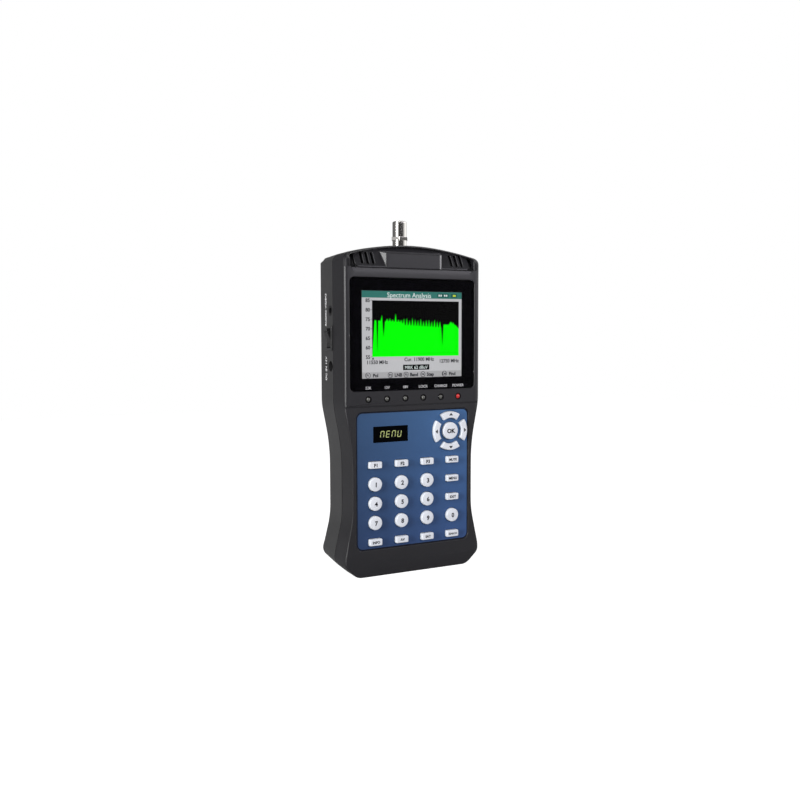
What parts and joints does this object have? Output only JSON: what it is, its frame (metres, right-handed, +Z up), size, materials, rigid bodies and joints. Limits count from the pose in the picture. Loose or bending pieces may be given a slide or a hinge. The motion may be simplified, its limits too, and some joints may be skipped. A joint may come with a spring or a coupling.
{
  "type": "satellite signal meter",
  "caption": "Hand-held satellite signal meter: waisted two-shell case with colour display, lamps, digit display, sprung keypad with arrow ring, side rocker and threaded aerial socket.",
  "frame": {"origin": "centre of the flat foot that the meter stands on", "axes": "+X to the right seen from the front, +Y from the front to the back, +Z up to the aerial socket"},
  "size_m": [0.0986, 0.0383, 0.2186],
  "materials": {
    "case_front": "fine satin texture",
    "case_rear": "fine satin texture",
    "window": "clear gloss",
    "gasket": "black border print",
    "display": "lit picture",
    "panel": "blue satin film",
    "digits": "gloss filter",
    "lamp_clear": "water-clear moulding",
    "lamp_red": "lit red moulding",
    "mat": "matt",
    "board": "solder mask",
    "black_plastic": "satin",
    "brass": "turned",
    "steel": "zinc plated",
    "can": "tinned sheet",
    "nickel": "polished nickel plate",
    "insulator": "moulded",
    "rocker": "satin gloss",
    "battery": "shrink sleeve",
    "keys": "satin"
  },
  "bodies": {
    "meter": {"front_case": "case_front", "rear_case": "case_rear", "display_window": "window", "window_gasket": "gasket", "lcd_module": "display", "keypad_panel": "panel", "digit_display": "digits", "status_leds": "lamp_clear", "power_led": "lamp_red", "keypad_mat": "mat", "key_board": "board", "main_board": "board", "board_header": "black_plastic", "board_spacers": "brass", "board_screws": "steel", "case_screws": "steel", "tuner_can": "can", "aerial_socket": "nickel", "aerial_insulator": "insulator", "aerial_contact": "brass", "av_jack": "black_plastic", "dc_jack": "black_plastic", "switch_frame": "black_plastic", "battery_pack": "battery", "speaker": "black_plastic"},
    "power_rocker": {"power_rocker": "rocker"},
    "key_f1": {"key_f1": "keys"},
    "key_f2": {"key_f2": "keys"},
    "key_f3": {"key_f3": "keys"},
    "key_mute": {"key_mute": "keys"},
    "key_1": {"key_1": "keys"},
    "key_2": {"key_2": "keys"},
    "key_3": {"key_3": "keys"},
    "key_menu": {"key_menu": "keys"},
    "key_4": {"key_4": "keys"},
    "key_5": {"key_5": "keys"},
    "key_6": {"key_6": "keys"},
    "key_exit": {"key_exit": "keys"},
    "key_7": {"key_7": "keys"},
    "key_8": {"key_8": "keys"},
    "key_9": {"key_9": "keys"},
    "key_0": {"key_0": "keys"},
    "key_info": {"key_info": "keys"},
    "key_av": {"key_av": "keys"},
    "key_sat": {"key_sat": "keys"},
    "key_search": {"key_search": "keys"},
    "key_up": {"key_up": "keys"},
    "key_right": {"key_right": "keys"},
    "key_down": {"key_down": "keys"},
    "key_left": {"key_left": "keys"},
    "key_ok": {"key_ok": "keys"}
  },
  "joints": [
    {"name": "rocker_tilt", "type": "hinge", "parent": "meter", "child": "power_rocker", "pos_m": [-0.04685, 0.0015, 0.14565], "axis": [0, 1, 0], "range_deg": [0, 26]},
    {"name": "key_f1_press", "type": "slide", "parent": "meter", "child": "key_f1", "axis": [0, 1, 0], "range_m": [0, 0.001], "stiffness_N_per_m": 800, "springref_m": -0.0005},
    {"name": "key_f2_press", "type": "slide", "parent": "meter", "child": "key_f2", "axis": [0, 1, 0], "range_m": [0, 0.001], "stiffness_N_per_m": 800, "springref_m": -0.0005},
    {"name": "key_f3_press", "type": "slide", "parent": "meter", "child": "key_f3", "axis": [0, 1, 0], "range_m": [0, 0.001], "stiffness_N_per_m": 800, "springref_m": -0.0005},
    {"name": "key_mute_press", "type": "slide", "parent": "meter", "child": "key_mute", "axis": [0, 1, 0], "range_m": [0, 0.001], "stiffness_N_per_m": 800, "springref_m": -0.0005},
    {"name": "key_1_press", "type": "slide", "parent": "meter", "child": "key_1", "axis": [0, 1, 0], "range_m": [0, 0.001], "stiffness_N_per_m": 800, "springref_m": -0.0005},
    {"name": "key_2_press", "type": "slide", "parent": "meter", "child": "key_2", "axis": [0, 1, 0], "range_m": [0, 0.001], "stiffness_N_per_m": 800, "springref_m": -0.0005},
    {"name": "key_3_press", "type": "slide", "parent": "meter", "child": "key_3", "axis": [0, 1, 0], "range_m": [0, 0.001], "stiffness_N_per_m": 800, "springref_m": -0.0005},
    {"name": "key_menu_press", "type": "slide", "parent": "meter", "child": "key_menu", "axis": [0, 1, 0], "range_m": [0, 0.001], "stiffness_N_per_m": 800, "springref_m": -0.0005},
    {"name": "key_4_press", "type": "slide", "parent": "meter", "child": "key_4", "axis": [0, 1, 0], "range_m": [0, 0.001], "stiffness_N_per_m": 800, "springref_m": -0.0005},
    {"name": "key_5_press", "type": "slide", "parent": "meter", "child": "key_5", "axis": [0, 1, 0], "range_m": [0, 0.001], "stiffness_N_per_m": 800, "springref_m": -0.0005},
    {"name": "key_6_press", "type": "slide", "parent": "meter", "child": "key_6", "axis": [0, 1, 0], "range_m": [0, 0.001], "stiffness_N_per_m": 800, "springref_m": -0.0005},
    {"name": "key_exit_press", "type": "slide", "parent": "meter", "child": "key_exit", "axis": [0, 1, 0], "range_m": [0, 0.001], "stiffness_N_per_m": 800, "springref_m": -0.0005},
    {"name": "key_7_press", "type": "slide", "parent": "meter", "child": "key_7", "axis": [0, 1, 0], "range_m": [0, 0.001], "stiffness_N_per_m": 800, "springref_m": -0.0005},
    {"name": "key_8_press", "type": "slide", "parent": "meter", "child": "key_8", "axis": [0, 1, 0], "range_m": [0, 0.001], "stiffness_N_per_m": 800, "springref_m": -0.0005},
    {"name": "key_9_press", "type": "slide", "parent": "meter", "child": "key_9", "axis": [0, 1, 0], "range_m": [0, 0.001], "stiffness_N_per_m": 800, "springref_m": -0.0005},
    {"name": "key_0_press", "type": "slide", "parent": "meter", "child": "key_0", "axis": [0, 1, 0], "range_m": [0, 0.001], "stiffness_N_per_m": 800, "springref_m": -0.0005},
    {"name": "key_info_press", "type": "slide", "parent": "meter", "child": "key_info", "axis": [0, 1, 0], "range_m": [0, 0.001], "stiffness_N_per_m": 800, "springref_m": -0.0005},
    {"name": "key_av_press", "type": "slide", "parent": "meter", "child": "key_av", "axis": [0, 1, 0], "range_m": [0, 0.001], "stiffness_N_per_m": 800, "springref_m": -0.0005},
    {"name": "key_sat_press", "type": "slide", "parent": "meter", "child": "key_sat", "axis": [0, 1, 0], "range_m": [0, 0.001], "stiffness_N_per_m": 800, "springref_m": -0.0005},
    {"name": "key_search_press", "type": "slide", "parent": "meter", "child": "key_search", "axis": [0, 1, 0], "range_m": [0, 0.001], "stiffness_N_per_m": 800, "springref_m": -0.0005},
    {"name": "key_up_press", "type": "slide", "parent": "meter", "child": "key_up", "axis": [0, 1, 0], "range_m": [0, 0.001], "stiffness_N_per_m": 800, "springref_m": -0.0005},
    {"name": "key_right_press", "type": "slide", "parent": "meter", "child": "key_right", "axis": [0, 1, 0], "range_m": [0, 0.001], "stiffness_N_per_m": 800, "springref_m": -0.0005},
    {"name": "key_down_press", "type": "slide", "parent": "meter", "child": "key_down", "axis": [0, 1, 0], "range_m": [0, 0.001], "stiffness_N_per_m": 800, "springref_m": -0.0005},
    {"name": "key_left_press", "type": "slide", "parent": "meter", "child": "key_left", "axis": [0, 1, 0], "range_m": [0, 0.001], "stiffness_N_per_m": 800, "springref_m": -0.0005},
    {"name": "key_ok_press", "type": "slide", "parent": "meter", "child": "key_ok", "axis": [0, 1, 0], "range_m": [0, 0.001], "stiffness_N_per_m": 800, "springref_m": -0.0005}
  ]
}
